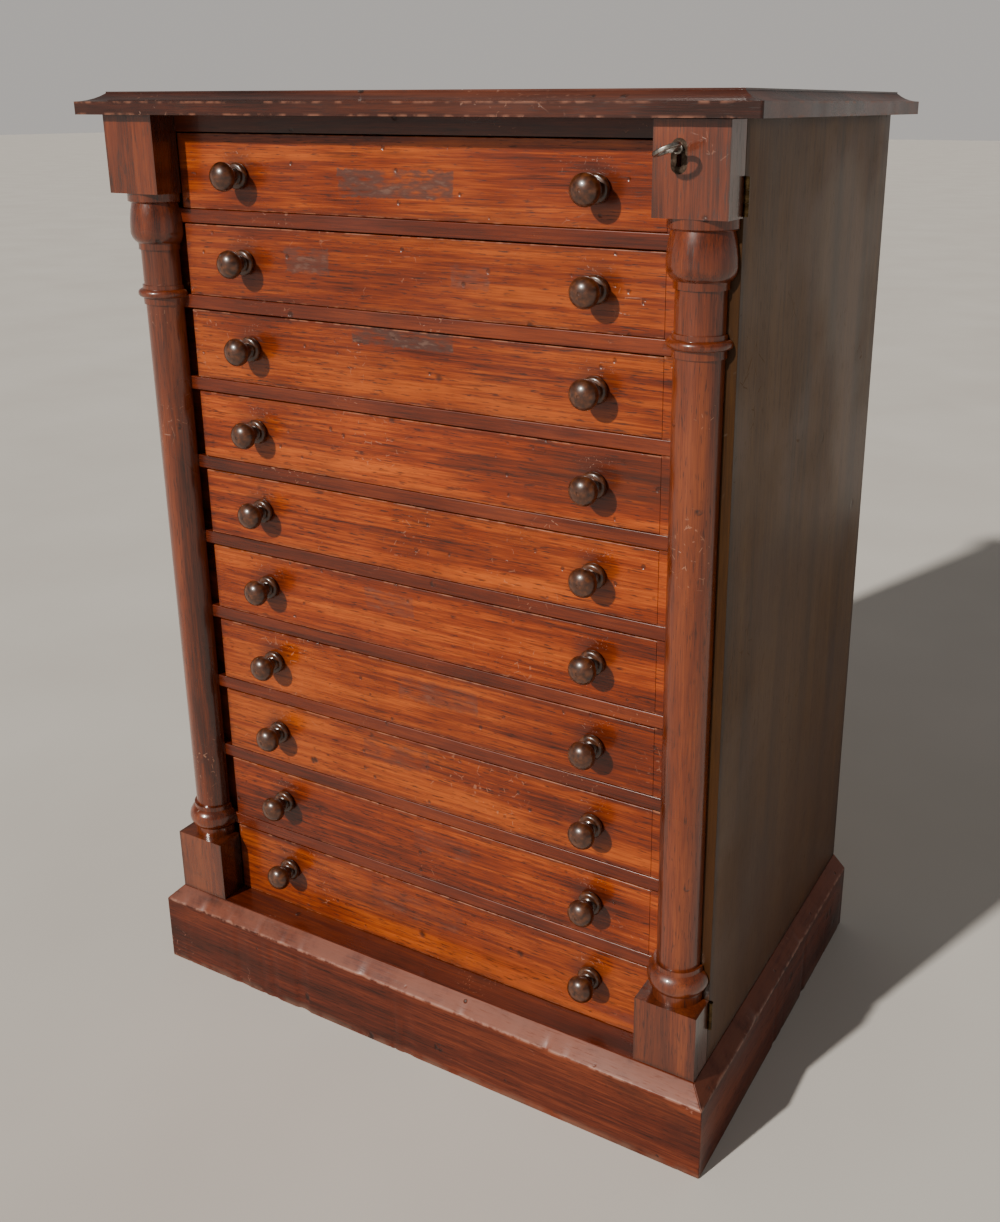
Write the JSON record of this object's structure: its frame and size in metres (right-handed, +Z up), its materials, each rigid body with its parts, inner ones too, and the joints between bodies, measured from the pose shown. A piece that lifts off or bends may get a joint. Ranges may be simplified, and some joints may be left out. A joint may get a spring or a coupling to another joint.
{
  "type": "specimen cabinet",
  "caption": "Tall wooden specimen cabinet on a plinth, with shallow drawers between half-column pilasters; the right pilaster is a hinged locking flap.",
  "frame": {"origin": "middle of the part's box on the floor: halfway along the front, and halfway from the key's bow to the back panel", "axes": "+Z up, +X to the right along the front, +Y from the drawer fronts to the back"},
  "size_m": [0.585, 0.388, 0.8157],
  "materials": {
    "polished_mahogany": "worn french polish",
    "carcass_pine": "unpolished",
    "drawer_lining": "unpolished",
    "dark_turned_wood": "polished",
    "brass": "dulled",
    "iron": "dulled"
  },
  "bodies": {
    "cabinet": {"top_board": "polished_mahogany", "strike_plate": "brass", "side_panel_left": "polished_mahogany", "side_panel_right": "polished_mahogany", "back_panel": "carcass_pine", "bottom_board": "polished_mahogany", "frieze_rail": "polished_mahogany", "drawer_rails": "polished_mahogany", "drawer_runners": "carcass_pine", "drawer_guides": "carcass_pine", "drawer_stops": "carcass_pine", "left_fillets": "carcass_pine", "right_fillets": "carcass_pine", "plinth_front": "polished_mahogany", "plinth_left": "polished_mahogany", "plinth_right": "polished_mahogany", "plinth_back": "carcass_pine", "plinth_glue_blocks": "carcass_pine", "left_pilaster": "polished_mahogany", "hinge_case_leaves": "brass", "hinge_pins": "brass", "hinge_case_screws": "brass"},
    "locking_flap": {"locking_pilaster": "polished_mahogany", "hinge_flap_leaves": "brass", "hinge_flap_screws": "brass", "keyhole_escutcheon": "iron", "lock_case": "iron", "lock_cover": "brass"},
    "lock_bolt_body": {"lock_bolt": "iron"},
    "lock_key": {"key": "iron"},
    "drawer_01": {"drawer_01_front": "polished_mahogany", "drawer_01_box": "drawer_lining", "drawer_01_knobs": "dark_turned_wood"},
    "drawer_02": {"drawer_02_front": "polished_mahogany", "drawer_02_box": "drawer_lining", "drawer_02_knobs": "dark_turned_wood"},
    "drawer_03": {"drawer_03_front": "polished_mahogany", "drawer_03_box": "drawer_lining", "drawer_03_knobs": "dark_turned_wood"},
    "drawer_04": {"drawer_04_front": "polished_mahogany", "drawer_04_box": "drawer_lining", "drawer_04_knobs": "dark_turned_wood"},
    "drawer_05": {"drawer_05_front": "polished_mahogany", "drawer_05_box": "drawer_lining", "drawer_05_knobs": "dark_turned_wood"},
    "drawer_06": {"drawer_06_front": "polished_mahogany", "drawer_06_box": "drawer_lining", "drawer_06_knobs": "dark_turned_wood"},
    "drawer_07": {"drawer_07_front": "polished_mahogany", "drawer_07_box": "drawer_lining", "drawer_07_knobs": "dark_turned_wood"},
    "drawer_08": {"drawer_08_front": "polished_mahogany", "drawer_08_box": "drawer_lining", "drawer_08_knobs": "dark_turned_wood"},
    "drawer_09": {"drawer_09_front": "polished_mahogany", "drawer_09_box": "drawer_lining", "drawer_09_knobs": "dark_turned_wood"},
    "drawer_10": {"drawer_10_front": "polished_mahogany", "drawer_10_box": "drawer_lining", "drawer_10_knobs": "dark_turned_wood"}
  },
  "joints": [
    {"name": "flap_hinge", "type": "hinge", "parent": "cabinet", "child": "locking_flap", "pos_m": [0.2715, -0.1406, 0.4383], "axis": [0, 0, 1], "range_deg": [0, 165]},
    {"name": "key_turn", "type": "hinge", "parent": "locking_flap", "child": "lock_key", "pos_m": [0.2355, -0.166, 0.7799], "axis": [0, 1, 0], "range_deg": [0, 60]},
    {"name": "bolt_slide", "type": "slide", "parent": "locking_flap", "child": "lock_bolt_body", "axis": [0, 0, 1], "range_m": [0, 0.00598]},
    {"name": "drawer_01_slide", "type": "slide", "parent": "cabinet", "child": "drawer_01", "axis": [0, -1, 0], "range_m": [0, 0.21]},
    {"name": "drawer_02_slide", "type": "slide", "parent": "cabinet", "child": "drawer_02", "axis": [0, -1, 0], "range_m": [0, 0.21]},
    {"name": "drawer_03_slide", "type": "slide", "parent": "cabinet", "child": "drawer_03", "axis": [0, -1, 0], "range_m": [0, 0.21]},
    {"name": "drawer_04_slide", "type": "slide", "parent": "cabinet", "child": "drawer_04", "axis": [0, -1, 0], "range_m": [0, 0.21]},
    {"name": "drawer_05_slide", "type": "slide", "parent": "cabinet", "child": "drawer_05", "axis": [0, -1, 0], "range_m": [0, 0.21]},
    {"name": "drawer_06_slide", "type": "slide", "parent": "cabinet", "child": "drawer_06", "axis": [0, -1, 0], "range_m": [0, 0.21]},
    {"name": "drawer_07_slide", "type": "slide", "parent": "cabinet", "child": "drawer_07", "axis": [0, -1, 0], "range_m": [0, 0.21]},
    {"name": "drawer_08_slide", "type": "slide", "parent": "cabinet", "child": "drawer_08", "axis": [0, -1, 0], "range_m": [0, 0.21]},
    {"name": "drawer_09_slide", "type": "slide", "parent": "cabinet", "child": "drawer_09", "axis": [0, -1, 0], "range_m": [0, 0.21]},
    {"name": "drawer_10_slide", "type": "slide", "parent": "cabinet", "child": "drawer_10", "axis": [0, -1, 0], "range_m": [0, 0.21]}
  ],
  "couplings": [
    {"joint": "key_turn", "follows": "bolt_slide", "rad_per_m": 175}
  ]
}
